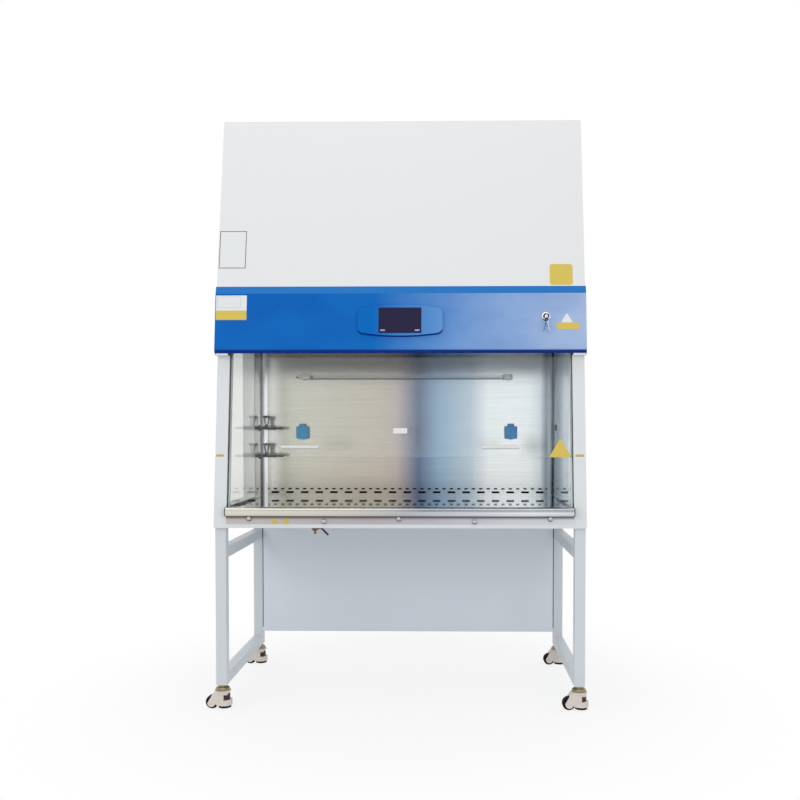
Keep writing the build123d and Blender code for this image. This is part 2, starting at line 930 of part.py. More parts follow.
socket_half = socket_size / 2
lid_axis_out = socket_depth + 2.5  # baffle to the lid's hinge pin
lid_axis_rise = socket_half + 7
ear_inner, ear_outer = 11, 14
knuckle_radius = 4
pin_radius = 1.5


def socket_base():
    """Flush two-pin outlet block with hinge ears for its lid, on the baffle at the origin."""
    body = block((-socket_half, socket_half), (-socket_depth, 0), (-socket_half, socket_half))
    body = fillet(body.edges().filter_by(Axis.Y), 6)
    ear_top = lid_axis_rise + knuckle_radius
    ear = block((ear_inner, ear_outer), (-lid_axis_out, -3), (socket_half, ear_top))
    eye = (ear_inner, -lid_axis_out, lid_axis_rise)
    ear += rod(eye, (1, 0, 0), ear_outer - ear_inner, knuckle_radius)
    pin = rod((-ear_outer, -lid_axis_out, lid_axis_rise), (1, 0, 0), 2 * ear_outer, pin_radius)
    slots = [Pos(x, -socket_depth + 4, 0) * Box(2, 8, 8) for x in (-7, 7)]
    slots.append(Pos(0, -socket_depth + 4, -10) * Box(3, 8, 3))
    return fuse(body, ear, mirror_x(ear), pin) - slots


def socket_lid():
    """Domed lid over the outlet, its knuckle between the base's ears."""
    half_lid = socket_half - 1
    back = -socket_depth - hang_gap
    cover = block((-half_lid, half_lid), (back - lid_depth, back), (-half_lid, half_lid))
    cover = fillet(cover.edges().filter_by(Axis.Y), 6)
    cover = chamfer(cover.faces().sort_by(Axis.Y)[0].edges(), 2.5)
    pull = block((-9, 9), (back - lid_depth + 2, back), (-half_lid - 4, -half_lid + 2))
    half_knuckle = ear_inner - hang_gap
    neck = block((-half_knuckle, half_knuckle), (back - 5, back), (half_lid - 3, lid_axis_rise))
    knuckle = rod(
        (-half_knuckle, -lid_axis_out, lid_axis_rise), (1, 0, 0), 2 * half_knuckle, knuckle_radius
    )
    bore = rod(
        (-ear_outer, -lid_axis_out, lid_axis_rise), (1, 0, 0), 2 * ear_outer, pin_radius + turning_gap
    )
    return fuse(cover, pull, neck, knuckle) - bore


socket_z = work + socket_rise
base_shape, lid_shape = socket_base(), socket_lid()
socket_left, socket_right = [Pos(x, chamber_back, socket_z) for x in socket_places]
parts["uv_tube"] = uv_tube()
parts["uv_holders"] = uv_holders()
parts["socket_bases"] = group(socket_left * base_shape, socket_right * base_shape)
parts["socket_lid_left"] = socket_left * lid_shape
parts["socket_lid_right"] = socket_right * lid_shape

cock_y = chamber_back - cock_from_back
cock_flange = 15
stem_radius = 3
bonnet_height = 14
stem_height = bonnet_height + 24


def gas_cock():
    """Service cock from the wall at the origin along +X: flange, body, bonnet, hose nozzle."""
    r, end = cock_radius, cock_length
    flange = [(0, 0), (cock_flange, 0), (cock_flange, 3), (r + 1, 5), (r, 8), (r, end), (0, end)]
    body = turned((0, 0, 0), (1, 0, 0), flange)
    nut = Pos(end - 6, 0, 0) * Rot(0, 90, 0) * extrude(RegularPolygon(r + 2, 6), 6)
    barb = nozzle_length / 3
    n = nozzle_radius
    profile = [(0, 0)]
    for i in range(3):
        profile += [(n, i * barb), (n, i * barb + barb * 0.35), (n - 1.1, (i + 1) * barb)]
    profile.append((0, nozzle_length))
    nozzle = turned((end, 0, 0), (1, 0, 0), profile)
    bore = rod((end - 10, 0, 0), (1, 0, 0), nozzle_length + 10, nozzle_bore)
    bonnet_profile = [(0, 0), (r + 3, 0), (r + 2, 8), (r - 1, bonnet_height), (0, bonnet_height)]
    bonnet = turned((cock_bonnet_place, 0, 0), (0, 0, 1), bonnet_profile)
    stem = rod((cock_bonnet_place, 0, 0), (0, 0, 1), stem_height, stem_radius)
    return fuse(body, nut, nozzle, bonnet, stem) - bore


def gas_knob():
    """Bell-shaped knob on the cock's stem, scalloped for grip."""
    r, h = cock_knob_radius, cock_knob_height
    low = bonnet_height + hang_gap
    waist = r - 4
    skirt = [(0, 0), (7, 0), (9, 4), (waist, h - 12)]
    crown = [(r, h - 8), (r, h - 4), (r - 3, h - 1), (0, h)]
    bell = turned((cock_bonnet_place, 0, low), (0, 0, 1), skirt + crown)
    scallop = Pos(cock_bonnet_place, 0, low) * Pos(r + 2, 0, h - 6) * Cylinder(3, 12)
    centre = Pos(cock_bonnet_place, 0, 0)
    cuts = [centre * Rot(0, 0, i * 60) * centre.inverse() * scallop for i in range(6)]
    bore_depth = stem_height - low + 0.5
    bore = rod((cock_bonnet_place, 0, low), (0, 0, 1), bore_depth, stem_radius + turning_gap)
    return bell - cuts - bore


cock_places = [Pos(-chamber_half, cock_y, work + rise) for rise in cock_rises]
cock_shape, knob_shape = gas_cock(), gas_knob()
parts["gas_cocks"] = group(*[place * cock_shape for place in cock_places])
parts["gas_knob_lower"] = cock_places[0] * knob_shape
parts["gas_knob_upper"] = cock_places[1] * knob_shape

# --------------------------------------------------------------------------
# Drain valve under the pan
# --------------------------------------------------------------------------
ball_drop = 24  # underside to the valve's spindle
ball_radius = 17
spindle_length = 12
lever_thick = 4
lever_width = 8
drain_nozzle = 5


def drain_valve():
    """Ball valve hanging from the pan's drain, spindle towards the operator."""
    r = drain_pipe_radius
    profile = [
        (0, 0),
        (r + 4, 0),
        (r + 4, 3),
        (r, 4),
        (r, ball_drop + 8),
        (drain_nozzle, ball_drop + 12),
        (drain_nozzle, drain_length),
        (0, drain_length),
    ]
    pipe = turned((0, 0, 0), (0, 0, -1), profile)
    ball = Pos(0, 0, -ball_drop) * Sphere(ball_radius)
    spindle = rod((0, -ball_radius + 3, -ball_drop), (0, -1, 0), spindle_length, 4)
    bore = rod((0, 0, 0), (0, 0, -1), ball_drop - 4, drain_bore)
    outlet = rod((0, 0, -drain_length), (0, 0, 1), drain_length - ball_drop - 4, drain_nozzle - 1.5)
    return Pos(drain_x, drain_y, underside) * (fuse(pipe, ball, spindle) - bore - outlet)


def drain_lever():
    """Cranked flat lever, its eye on the valve's spindle, seen from the front."""
    tip = (drain_lever_bend + 24, -drain_lever_drop - 4)
    path = Polyline((0, 0), (drain_lever_bend, -3), tip)
    arm = trace(path, lever_width) + Circle(9) + Pos(*tip) * Circle(lever_width / 2)
    eye = Circle(4 + turning_gap)
    front = drain_y - ball_radius - 3
    lever = prism_y(arm - eye, front - lever_thick, front)
    return Pos(drain_x, 0, underside - ball_drop) * lever


parts["drain_valve"] = drain_valve()
parts["drain_lever"] = drain_lever()

# --------------------------------------------------------------------------
# Stand: two welded side frames of square tube and a sheet panel behind
# --------------------------------------------------------------------------
leg_x = half - leg_inset - tube / 2
leg_ys = (leg_front + tube / 2, leg_front + frame_depth - tube / 2)
caster_stem_radius = 6
leg_plug = 6
stem_reach = 20


def square_tube(x, y, z, along):
    """Square tube between the ends given, open along one axis."""
    bores = {
        "y": (grown(x, -tube_wall), y, grown(z, -tube_wall)),
        "z": (grown(x, -tube_wall), grown(y, -tube_wall), z),
    }
    return block(x, y, z) - block(*bores[along])


def stand_frames():
    x = (-leg_x - tube / 2, -leg_x + tube / 2)
    solids = []
    for y in leg_ys:
        side = (y - tube / 2, y + tube / 2)
        leg = square_tube(x, side, (stand_foot, underside), "z")
        plug_rise = (stand_foot, stand_foot + leg_plug)
        plug = block(grown(x, -tube_wall), grown(side, -tube_wall), plug_rise)
        hole = rod((-leg_x, y, stand_foot), (0, 0, 1), leg_plug, caster_stem_radius + turning_gap)
        solids.append(leg + (plug - hole))
    rail_y = (leg_ys[0] + tube / 2, leg_ys[1] - tube / 2)
    for high in (underside - upper_rail_drop, stand_foot + tube):
        solids.append(square_tube(x, rail_y, (high - tube, high), "y"))
    return group(*solids, *[mirror_x(solid) for solid in solids])


def stand_panel():
    """Sheet between the rear legs, its lower edge and sides folded back."""
    x = (-leg_x + tube / 2 + seam, leg_x - tube / 2 - seam)
    y = (leg_ys[1] - tube / 2, leg_ys[1] - tube / 2 + panel_lip)
    z = (stand_foot + panel_lift, underside)
    inner = block(grown(x, -sheet), (y[0] + sheet, y[1]), (z[0] + sheet, z[1]))
    return block(x, y, z) - inner


parts["stand_frames"] = stand_frames()
parts["stand_panel"] = stand_panel()

# --------------------------------------------------------------------------
# Levelling casters, built round the swivel axis with the wheel towards -X
# --------------------------------------------------------------------------
flange_radius = 31
flange_low, flange_high = 63, 70
race_radius = 26.5
housing_half = 24
skirt_radius = 28
skirt_low, skirt_high = foot_clear + 9, 34
dial_radius = 20
dial_low, dial_high = 35.5, 54
foot_stem_radius = 6
axle_radius = 4
arm_radius = 15
fork_gap = 0.8


def caster_stem():
    """Bearing race, lock nut and threaded stem, fixed to the leg."""
    race_low = flange_high + hang_gap
    rise = caster_height - race_low
    profile = [(0, 0), (race_radius, 0), (race_radius, 8), (race_radius - 4, rise), (0, rise)]
    race = turned((0, 0, race_low), (0, 0, 1), profile)
    nut = Pos(0, 0, caster_height) * extrude(RegularPolygon(17, 6), caster_nut)
    stem_low = dial_high + 3
    stem = rod((0, 0, stem_low), (0, 0, 1), stand_foot + stem_reach - stem_low, caster_stem_radius)
    return fuse(race, nut, stem)


def caster_housing():
    """Moulded fork: side cheeks down to the axle, round flange above, foot guide below."""
    axle = (-wheel_trail, wheel_radius)
    cheek = make_face(
        [
            Line((-flange_radius, flange_low), (-wheel_trail - arm_radius, wheel_radius)),
            ThreePointArc(
                (-wheel_trail - arm_radius, wheel_radius),
                (-wheel_trail, wheel_radius - arm_radius),
                (-wheel_trail + arm_radius, wheel_radius - 4),
            ),
            Line(
                (-wheel_trail + arm_radius, wheel_radius - 4),
                (-wheel_trail + arm_radius + 8, skirt_low),
            ),
            Line((-wheel_trail + arm_radius + 8, skirt_low), (foot_offset, skirt_low)),
            Line((foot_offset, skirt_low), (foot_offset, flange_low)),
            Line((foot_offset, flange_low), (-flange_radius, flange_low)),
        ]
    )
    body = prism_y(cheek, -housing_half, housing_half)
    crown = block((-26, 22), (-housing_half, housing_half), (dial_high + 1, flange_low))
    flange = rod((0, 0, flange_low), (0, 0, 1), flange_high - flange_low, flange_radius)
    skirt = rod((foot_offset, 0, skirt_low), (0, 0, 1), skirt_high - skirt_low, skirt_radius)
    wheel_bay = block(
        (-wheel_trail - 2 * wheel_radius, -wheel_trail + wheel_radius + 1),
        (-wheel_width / 2 - fork_gap, wheel_width / 2 + fork_gap),
        (0, 2 * wheel_radius + 3),
    )
    bay_height = dial_high + 1 - skirt_high
    dial_bay = rod((foot_offset, 0, skirt_high), (0, 0, 1), bay_height, dial_radius + 1)
    stem_bore = rod((0, 0, dial_high), (0, 0, 1), caster_height, caster_stem_radius + turning_gap)
    foot_bore = rod((foot_offset, 0, 0), (0, 0, 1), dial_high, foot_stem_radius + hang_gap)
    pin = rod((axle[0], -housing_half, axle[1]), (0, 1, 0), 2 * housing_half, axle_radius)
    return fuse(body, crown, flange, skirt) - wheel_bay - dial_bay - stem_bore - foot_bore + pin


def caster_wheel():
    r, w = wheel_radius, wheel_width / 2
    bore = axle_radius + turning_gap
    side = [(bore, w), (9, w), (10, w - 3), (r - 7, w - 3), (r - 5, w), (r - 2, w), (r, w - 3)]
    profile = [(radius, -out) for radius, out in side] + side[::-1]
    return turned((-wheel_trail, 0, r), (0, 1, 0), profile)


def caster_dial():
    """Notched thumbwheel that turns on the foot's thread."""
    height = dial_high - dial_low
    outline = Circle(dial_radius) - Circle(foot_stem_radius + turning_gap)
    notch = Pos(dial_radius + 0.6, 0) * Circle(1.8)
    notches = [Rot(0, 0, i * 30) * notch for i in range(12)]
    return Pos(foot_offset, 0, dial_low) * extrude(outline - notches, height)


def caster_foot():
    """Levelling foot: pad with its threaded stem up through the dial."""
    pad = turned(
        (foot_offset, 0, foot_clear),
        (0, 0, 1),
        [(0, 0), (foot_radius, 0), (foot_radius, 4), (foot_radius - 3, 8), (0, 8)],
    )
    stem_length = dial_high - foot_clear - 1
    stem = rod((foot_offset, 0, foot_clear), (0, 0, 1), stem_length, foot_stem_radius)
    return pad + stem


caster_pieces = {
    "caster_housing_": caster_housing(),
    "caster_wheel_": caster_wheel(),
    "caster_dial_": caster_dial(),
    "caster_foot_": caster_foot(),
}
stems = []
for depth_name, y in zip(("front", "rear"), leg_ys):
    for side_name, x in (("left", -leg_x), ("right", leg_x)):
        stems.append(Pos(x, y, 0) * caster_stem())
        for prefix, piece in caster_pieces.items():
            parts[prefix + depth_name + "_" + side_name] = Pos(x, y, 0) * piece
parts["caster_stems"] = group(*stems)

# --------------------------------------------------------------------------
# Write every node, moved to the origin on the floor under the cabinet's middle
# --------------------------------------------------------------------------
os.makedirs("parts", exist_ok=True)
for name, shape in parts.items():
    export_step(Pos(0, -middle_y, 0) * shape, "parts/" + name + ".step")
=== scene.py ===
"""Looks of a castered biosafety cabinet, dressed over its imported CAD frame.

Metres, in the CAD's own frame: +Z up from the floor, the operator stands at -Y.
"""

import json
import math

import bpy
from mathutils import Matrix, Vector


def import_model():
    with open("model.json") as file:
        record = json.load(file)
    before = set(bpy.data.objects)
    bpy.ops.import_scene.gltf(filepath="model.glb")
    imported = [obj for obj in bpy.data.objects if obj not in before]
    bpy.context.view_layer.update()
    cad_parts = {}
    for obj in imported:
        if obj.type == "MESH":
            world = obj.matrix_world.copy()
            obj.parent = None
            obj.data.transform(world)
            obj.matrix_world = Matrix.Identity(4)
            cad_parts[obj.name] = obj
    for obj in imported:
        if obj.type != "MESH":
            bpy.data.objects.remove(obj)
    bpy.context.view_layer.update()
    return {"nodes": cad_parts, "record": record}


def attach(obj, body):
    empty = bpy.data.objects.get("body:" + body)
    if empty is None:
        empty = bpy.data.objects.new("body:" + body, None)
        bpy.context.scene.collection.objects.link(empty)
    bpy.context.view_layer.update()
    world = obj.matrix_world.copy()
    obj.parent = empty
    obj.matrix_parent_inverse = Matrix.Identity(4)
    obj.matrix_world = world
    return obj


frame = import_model()
NODES = frame["nodes"]

# --------------------------------------------------------------------------
# Driving dimensions
# --------------------------------------------------------------------------
FRONT_LEAN = math.radians(6.7)  # pillars, sash and control panel
UPPER_LEAN = math.radians(10.6)  # upper panel
UNDERSIDE = 0.693  # front bottom edge of the body
BODY_FRONT = -0.359
CONTROL_BOTTOM = 1.344
CONTROL_TOP = 1.607
CONTROL_REACH = 0.042  # control panel's face in front of the pillars' plane
HEAD_REACH = 0.036  # upper panel's lower edge in front of the pillars' plane
SASH_SETBACK = 0.006
CHAMBER_HALF = 0.645
BAFFLE_Y = 0.266
DUCT_BACK = 0.384  # inner face of the rear cover
DUCT_SKIN = (0.0008, 0.0004)  # in front of that face, where its painted shade starts and is full
PANEL_Y = 0.306  # front face of the sheet between the rear legs
SHEET = 0.002  # the skirt stands this far in front of the body
SKIRT_TOP = 0.737
SKIRT_SHADE = (0.012, 0.001)  # below its top, where the armrest's shade starts and is full
ARMREST_SPAN = (0.737, 0.772)
ARMREST_ENDS = (0.6485, 0.6505)  # from the middle, where the painted shade of its cut ends begins
CONTROL_BEVEL = (0.0285, 0.0275)  # below the control panel's top, where the painted tone of its bevel begins
CONTROL_ROLL = (0.024, 0.016)  # above the control panel's bottom, where the painted shade of its roll begins
SCREEN_OUT = 0.0097  # control panel's face to the screen's
LOCK = (0.551, 1.4895)  # centre of the lock, across and up
LOCK_RING = (0.0124, 0.0116)  # radii between which the lock's black ring ends
SPARE_KEYS = (0.013, 0.015)  # below the lock's centre, where the spare keys begin
SPARE_SPLIT = 0.001  # half of the soft step between the painted shade of the left spare key and the painted highlight of the right
KNOB_RIMS = (-0.0085, -0.0065, 0.01)  # above a knob's top: flank's end, rim's start and end
KNOB_FADE = 0.001  # height over which the rim ends
KNOB_BELOW = 0.01  # the knobs' tones start this far below the lower knob's top
PANE_BACK = 0.0045  # liner faces this far beyond the chamber's side lie behind the panes
CUT_EDGE = 0.5  # a face's normal below this, along the pane's axis, is one of its cut edges
RUN = (-0.7, 0.7)  # span of the runs of painted reflection and shade, across the cabinet
PLATE = 0.0005  # thickness of a stuck-on plate

# Camera, from the straight edges of the cabinet
CAMERA_PLACE = (0.1793, -3.5951, 1.0493)
CAMERA_TURN = (math.pi / 2 - 0.0265, 0.0, 0.0161)
CAMERA_LENS = 39.01
CAMERA_SHIFT = (-0.0419, 0.0701)


# --------------------------------------------------------------------------
# Materials
# --------------------------------------------------------------------------
def linear(colour):
    """8-bit display colour as a linear RGBA colour."""
    channels = [c / 255 for c in colour]
    return (*[c / 12.92 if c <= 0.04045 else ((c + 0.055) / 1.055) ** 2.4 for c in channels], 1.0)


class Look:
    """A material built round one Principled shader, with short helpers for its nodes."""

    def __init__(self, name, colour, roughness, metallic=0.0, **sockets):
        self.material = bpy.data.materials.new(name)
        self.material.use_nodes = True
        self.tree = self.material.node_tree
        self.tree.nodes.clear()
        self.shader = self.add("ShaderNodeBsdfPrincipled")
        output = self.add("ShaderNodeOutputMaterial")
        self.link(self.shader.outputs[0], output.inputs["Surface"])
        self.shader.inputs["Base Color"].default_value = linear(colour)
        self.shader.inputs["Roughness"].default_value = roughness
        self.shader.inputs["Metallic"].default_value = metallic
        for socket, value in sockets.items():
            self.shader.inputs[socket.replace("_", " ")].default_value = value

    def add(self, kind, **settings):
        node = self.tree.nodes.new(kind)
        for key, value in settings.items():
            setattr(node, key, value)
        return node

    def link(self, source, target):
        self.tree.links.new(source, target)

    def place(self, axis):
        """One coordinate of the point, in the CAD's frame with the part at rest."""
        split = self.add("ShaderNodeSeparateXYZ")
        self.link(self.add("ShaderNodeTexCoord").outputs["Object"], split.inputs[0])
        return split.outputs[axis]

    def normal(self, axis):
        """One coordinate of the surface's own normal."""
        split = self.add("ShaderNodeSeparateXYZ")
        self.link(self.add("ShaderNodeNewGeometry").outputs["Normal"], split.inputs[0])
        return split.outputs[axis]

    def size(self, value):
        """The value without its sign."""
        node = self.add("ShaderNodeMath", operation="ABSOLUTE")
        self.link(value, node.inputs[0])
        return node.outputs[0]

    def ramp(self, value, low, high, stops):
        """Colour along a value: stops are (place in the value's own units, colour)."""
        spread = self.add("ShaderNodeMapRange")
        spread.inputs["From Min"].default_value = low
        spread.inputs["From Max"].default_value = high
        self.link(value, spread.inputs["Value"])
        ramp = self.add("ShaderNodeValToRGB")
        elements = ramp.color_ramp.elements
        while len(elements) < len(stops):
            elements.new(0.5)
        for element, (place, colour) in zip(elements, stops):
            element.position = (place - low) / (high - low)
            element.color = linear(colour)
        self.link(spread.outputs[0], ramp.inputs[0])
        return ramp.outputs["Color"]

    def mask(self, value, start, end):
        """0 before start and 1 after end."""
        spread = self.add("ShaderNodeMapRange", interpolation_type="SMOOTHSTEP")
        spread.inputs["From Min"].default_value = start
        spread.inputs["From Max"].default_value = end
        self.link(value, spread.inputs["Value"])
        return spread.outputs[0]

    def mix(self, factor, first, second, blend="MIX"):
        node = self.add("ShaderNodeMix", data_type="RGBA", blend_type=blend)
        for socket, value in ((0, factor), (6, first), (7, second)):
            if isinstance(value, (int, float, tuple)):
                node.inputs[socket].default_value = value
            else:
                self.link(value, node.inputs[socket])
        return node.outputs[2]

    def noise(self, stretch, detail=3.0, seed=0.0):
        """Noise with its own scale along each axis."""
        mapping = self.add("ShaderNodeMapping")
        mapping.inputs["Scale"].default_value = stretch
        mapping.inputs["Location"].default_value = (seed, seed, seed)
        self.link(self.add("ShaderNodeTexCoord").outputs["Object"], mapping.inputs["Vector"])
        noise = self.add("ShaderNodeTexNoise")
        noise.inputs["Scale"].default_value = 1.0
        noise.inputs["Detail"].default_value = detail
        self.link(mapping.outputs[0], noise.inputs["Vector"])
        return noise.outputs["Fac"]

    def colour(self, output):
        self.link(output, self.shader.inputs["Base Color"])

    def bump(self, height, distance):
        bump = self.add("ShaderNodeBump")
        bump.inputs["Strength"].default_value = 0.3
        bump.inputs["Distance"].default_value = distance
        self.link(height, bump.inputs["Height"])
        self.link(bump.outputs[0], self.shader.inputs["Normal"])


WHITE = (255, 255, 255)
BODY_WHITE = (224, 227, 228)
COAT_ROUGHNESS = 0.42
COAT_GRAIN = (900, 900, 900)
COAT_HEIGHT = 0.00012


def coat(name, colour):
    """Powder-coated sheet with its fine grain."""
    look = Look(name, colour, COAT_ROUGHNESS)
    look.bump(look.noise(COAT_GRAIN, detail=1.0), COAT_HEIGHT)
    return look


def body_paint():
    """White coat outside; the rear duct's inner face, seen through the slots, is painted black as
    painted shade.
    """
    look = coat("body_white", BODY_WHITE)
    forward = look.mask(look.normal(1), -0.5, -0.9)
    start, full = [DUCT_BACK - skin for skin in DUCT_SKIN]
    deep = look.mask(look.place(1), start, full)
    duct_shade = look.mix(1.0, forward, deep, "MULTIPLY")
    # painted shade: the duct's inner face black where the slots show it
    look.colour(look.mix(duct_shade, linear(BODY_WHITE), linear((10, 10, 11))))
    return look.material


STREAKS = [(0.3, (244, 244, 244)), (0.7, WHITE)]


def brushed(name, stops, grain, roughness):
    """Brushed stainless steel: a painted reflection as a soft run of tone across the cabinet, and
    fine streaks.
    """
    look = Look(name, stops[0][1], roughness, metallic=1.0)
    # painted reflection: tone across the cabinet
    tone = look.ramp(look.place(0), *RUN, stops)
    streaks = look.ramp(look.noise(grain, detail=4.0), 0.3, 0.7, STREAKS)
    look.colour(look.mix(1.0, tone, streaks, "MULTIPLY"))
    return look


def base_colour(look):
    """What feeds the shader's colour so far."""
    return look.shader.inputs["Base Color"].links[0].from_socket


def chrome(name, dark, bright, roughness, low=-0.25, high=0.15):
    """Polished metal with a painted reflection: dark undersides and a bright top."""
    look = Look(name, bright, roughness, metallic=1.0)
    # painted reflection by the normal's height
    look.colour(look.ramp(look.normal(2), -1.0, 1.0, [(low, dark), (high, bright)]))
    return look


def lid_paint():
    """Blue socket lids, the right one deeper as painted shade."""
    look = Look("lid_blue", (40, 186, 252), 0.3, Specular_IOR_Level=0.1)
    # painted shade: the right lid deeper
    look.colour(look.ramp(look.place(0), -0.3, 0.3, [(-0.1, (40, 192, 255)), (0.1, (2, 172, 252))]))
    return look.material


def knob_chrome():
    """Polished knobs: dark rims, and a painted reflection of dark flanks with a bright stripe down
    the middle.
    """
    look = Look("knob_metal", (236, 230, 224), 0.2, metallic=1.0)
    dark, bright = (30, 28, 28), (206, 200, 196)
    # painted reflection: dark flanks, bright stripe facing front and back
    painted_band = look.ramp(look.size(look.normal(1)), 0.0, 1.0, [(0.35, dark), (0.65, bright)])
    knobs = ("gas_knob_lower", "gas_knob_upper")
    tops = [max(v.co.z for v in NODES[knob].data.vertices) for knob in knobs]
    flank_end, rim_start, rim_end = KNOB_RIMS
    rim = (26, 24, 24)
    rims = []
    for top in tops:
        rims += [
            (top + flank_end, WHITE),
            (top + rim_start, rim),
            (top + rim_end, rim),
            (top + rim_end + KNOB_FADE, WHITE),
        ]
    height = look.place(2)
    low, high = tops[0] - KNOB_BELOW, tops[1] + rim_end + KNOB_FADE
    shade = look.ramp(height, low, high, rims)
    look.colour(look.mix(1.0, painted_band, shade, "MULTIPLY"))
    return look.material


def glass(name, colour):
    """Clear pane; its cut edges have a material of their own."""
    sockets = {"Transmission_Weight": 1.0, "IOR": 1.45, "Specular_IOR_Level": 0.25}
    return Look(name, colour, 0.02, **sockets)


def side_glass():
    """Side panes, the right one greyer as painted shade."""
    left, right = (249, 252, 251), (195, 207, 218)
    look = glass("side_glass", left)
    # painted shade: the right pane greyer
    look.colour(look.ramp(look.place(0), *RUN, [(-0.1, left), (0.1, right)]))
    return look.material


# Painted reflection on the blue cover, paler to the right
BLUE_RUN = [
    (-0.7, (4, 103, 189)),
    (-0.1, (8, 105, 189)),
    (0.12, (88, 142, 206)),
    (0.4, (144, 174, 219)),
    (0.7, (170, 190, 223)),
]


def control_blue():
    """Satin blue cover: a painted reflection makes it paler to the right; its bevel has a painted
    tone for the light it catches, its rolled lower edge painted shade.
    """
    look = Look("control_blue", BLUE_RUN[0][1], 0.4, Specular_IOR_Level=0.12)
    reflection_run = look.ramp(look.place(0), *RUN, BLUE_RUN)
    stops = [(0.35, (230, 236, 246)), (0.65, WHITE)]
    clouds = look.ramp(look.noise((5, 5, 9), seed=3.0), 0.35, 0.65, stops)
    face = look.mix(1.0, reflection_run, clouds, "MULTIPLY")
    # painted light and shade: the bevel in a tone of its own
    bevel = look.mask(look.place(2), *[CONTROL_TOP - drop for drop in CONTROL_BEVEL])
    face = look.mix(bevel, face, linear((40, 117, 191)))
    # painted shade on the rolled lower edge
    roll = look.mask(look.place(2), *[CONTROL_BOTTOM + rise for rise in CONTROL_ROLL])
    look.colour(look.mix(roll, face, linear((2, 44, 126))))
    return look.material


def bezel_blue():
    """Moulded frame of the screen, in the cover's blue with its painted reflection, and painted
    shade on its lower faces.
    """
    look = Look("bezel_blue", BLUE_RUN[1][1], 0.35, Specular_IOR_Level=0.08)
    reflection_run = look.ramp(look.place(0), *RUN, BLUE_RUN)
    # painted shade on the downward faces
    underside_shade = look.mask(look.normal(2), -0.1, -0.5)
    look.colour(look.mix(underside_shade, reflection_run, linear((6, 60, 140))))
    return look.material


def lock_chrome():
    """Lock with a black ring round its plug, and painted shade on the undersides of its rim."""
    look = Look("switch_chrome", (226, 228, 232), 0.18, metallic=1.0)
    flat = look.add("ShaderNodeVectorMath", operation="MULTIPLY")
    flat.inputs[1].default_value = (1.0, 0.0, 1.0)
    look.link(look.add("ShaderNodeTexCoord").outputs["Object"], flat.inputs[0])
    radius = look.add("ShaderNodeVectorMath", operation="DISTANCE")
    radius.inputs[1].default_value = (LOCK[0], 0.0, LOCK[1])
    look.link(flat.outputs["Vector"], radius.inputs[0])
    ring = look.mask(radius.outputs["Value"], *LOCK_RING)
    underside_shade = look.mask(look.normal(2), -0.1, -0.5)
    # painted shade on the rim's downward faces
    rim = look.mix(underside_shade, linear((244, 245, 248)), linear((20, 20, 34)))
    look.colour(look.mix(ring, rim, linear((4, 4, 6))))
    return look.material


def key_steel():
    """Bright key in the lock; of the two hanging ones the left is dark as painted shade, the right
    bright as a painted highlight.
    """
    look = Look("key_metal", (240, 242, 247), 0.22, metallic=1.0)
    hanging = look.mask(look.place(2), *[LOCK[1] - drop for drop in SPARE_KEYS])
    left = look.mask(look.place(0), LOCK[0] + SPARE_SPLIT, LOCK[0] - SPARE_SPLIT)
    # painted shade on the left spare key, painted highlight on the right
    pair = look.mix(left, linear((224, 236, 250)), linear((52, 92, 150)))
    look.colour(look.mix(hanging, linear((240, 242, 247)), pair))
    return look.material


def skirt_paint():
    """Front skirt: a painted reflection, warm grey at the left and pale at the right, and the
    armrest's painted shade at its top.
    """
    look = Look("skirt_grey", SKIRT_RUN[0][1], COAT_ROUGHNESS)
    reflection_run = look.ramp(look.place(0), *RUN, SKIRT_RUN)
    start, full = [SKIRT_TOP - drop for drop in SKIRT_SHADE]
    shade = look.ramp(look.place(2), start, SKIRT_TOP, [(start, WHITE), (full, (118, 110, 106))])
    look.colour(look.mix(1.0, reflection_run, shade, "MULTIPLY"))
    return look.material


def lamp_glass():
    """Lamp tube, of a low index so that it shows as weakly as in the photograph."""
    sockets = {"Transmission_Weight": 0.85, "IOR": 1.12}
    return Look("lamp_glass", (232, 238, 240), 0.05, **sockets).material


# Painted shade and highlights of the armrest: grey by share of its height
ARMREST_SHADE = [
    (0.0, 84),
    (0.04, 140),
    (0.11, 244),
    (0.45, 255),
    (0.62, 244),
    (0.78, 226),
    (0.9, 255),
]


def armrest_steel():
    """Steel bar with a painted reflection along it: painted shade below and at its two cut ends, a
    painted highlight along its top, and greyer in its upper half at the right as painted
    reflection.
    """
    look = brushed("armrest_steel", ARMREST_RUN, (3, 300, 300), 0.26)
    tone = base_colour(look)
    low, high = ARMREST_SPAN
    rise = high - low
    stops = [(low + share * rise, (grey, grey, grey)) for share, grey in ARMREST_SHADE]
    shade = look.ramp(look.place(2), low, high, stops)
    ends = look.mask(look.size(look.place(0)), *ARMREST_ENDS)
    body = look.mix(1.0, tone, shade, "MULTIPLY")
    # painted reflection: greyer upper half at the right
    upper = look.mask(look.place(2), low + 0.5 * rise, low + 0.6 * rise)
    right = look.mask(look.place(0), -0.05, 0.12)
    corner = look.mix(1.0, upper, right, "MULTIPLY")
    painted_band = look.mix(corner, linear(WHITE), linear((206, 207, 209)))
    body = look.mix(1.0, body, painted_band, "MULTIPLY")
    look.colour(look.mix(ends, body, linear((58, 54, 52))))
    return look.material


# Painted reflections on the back wall across the cabinet, with painted shade and a painted
# highlight at its left corner
STEEL_BACK = [
    (-0.645, (120, 118, 118)),
    (-0.64, (252, 252, 251)),
    (-0.55, (208, 207, 195)),
    (-0.12, (197, 191, 178)),
    (-0.05, (191, 183, 177)),
    (0.05, (104, 119, 147)),
    (0.14, (148, 177, 201)),
    (0.28, (190, 206, 218)),
    (0.36, (238, 244, 246)),
    (0.54, (245, 250, 252)),
    (0.59, (238, 246, 250)),
    (0.615, (158, 170, 180)),
    (0.65, (140, 150, 160)),
]


